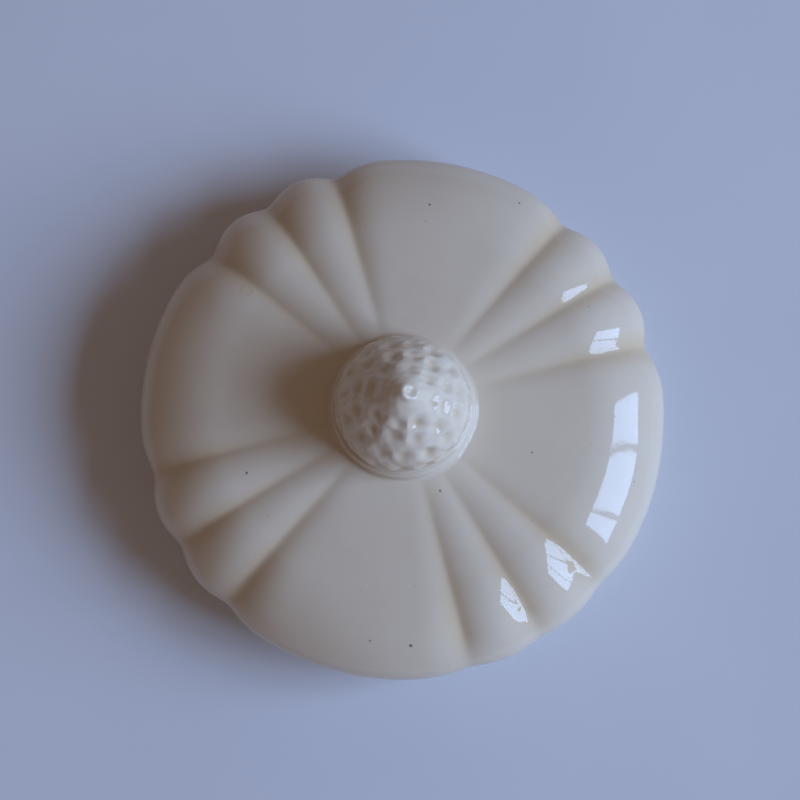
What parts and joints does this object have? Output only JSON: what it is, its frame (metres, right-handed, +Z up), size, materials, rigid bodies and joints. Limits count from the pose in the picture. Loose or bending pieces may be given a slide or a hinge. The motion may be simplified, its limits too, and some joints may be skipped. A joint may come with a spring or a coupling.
{
  "type": "lobed jar lid",
  "caption": "Round domed earthenware lid with a scalloped, lobed rim, a dimpled berry knob on a smooth foot, and a locating flange underneath that drops into a jar's mouth.",
  "frame": {"origin": "centre of the seat, the flat ring that lands on the jar's rim, on the lid's axis", "axes": "+Z up along the lid's axis, from the flange towards the knob; +X along the middle groove of one pair of narrow lobes"},
  "size_m": [0.0996, 0.0996, 0.0458],
  "materials": {
    "cream_glaze": "clear glossy glaze over a cream earthenware body"
  },
  "bodies": {
    "root": {"lid_dome": "cream_glaze", "locating_flange": "cream_glaze", "flange_slip_joint": "cream_glaze", "knob_foot": "cream_glaze", "knob_slip_joint": "cream_glaze", "knob_berry": "cream_glaze"}
  },
  "joints": []
}
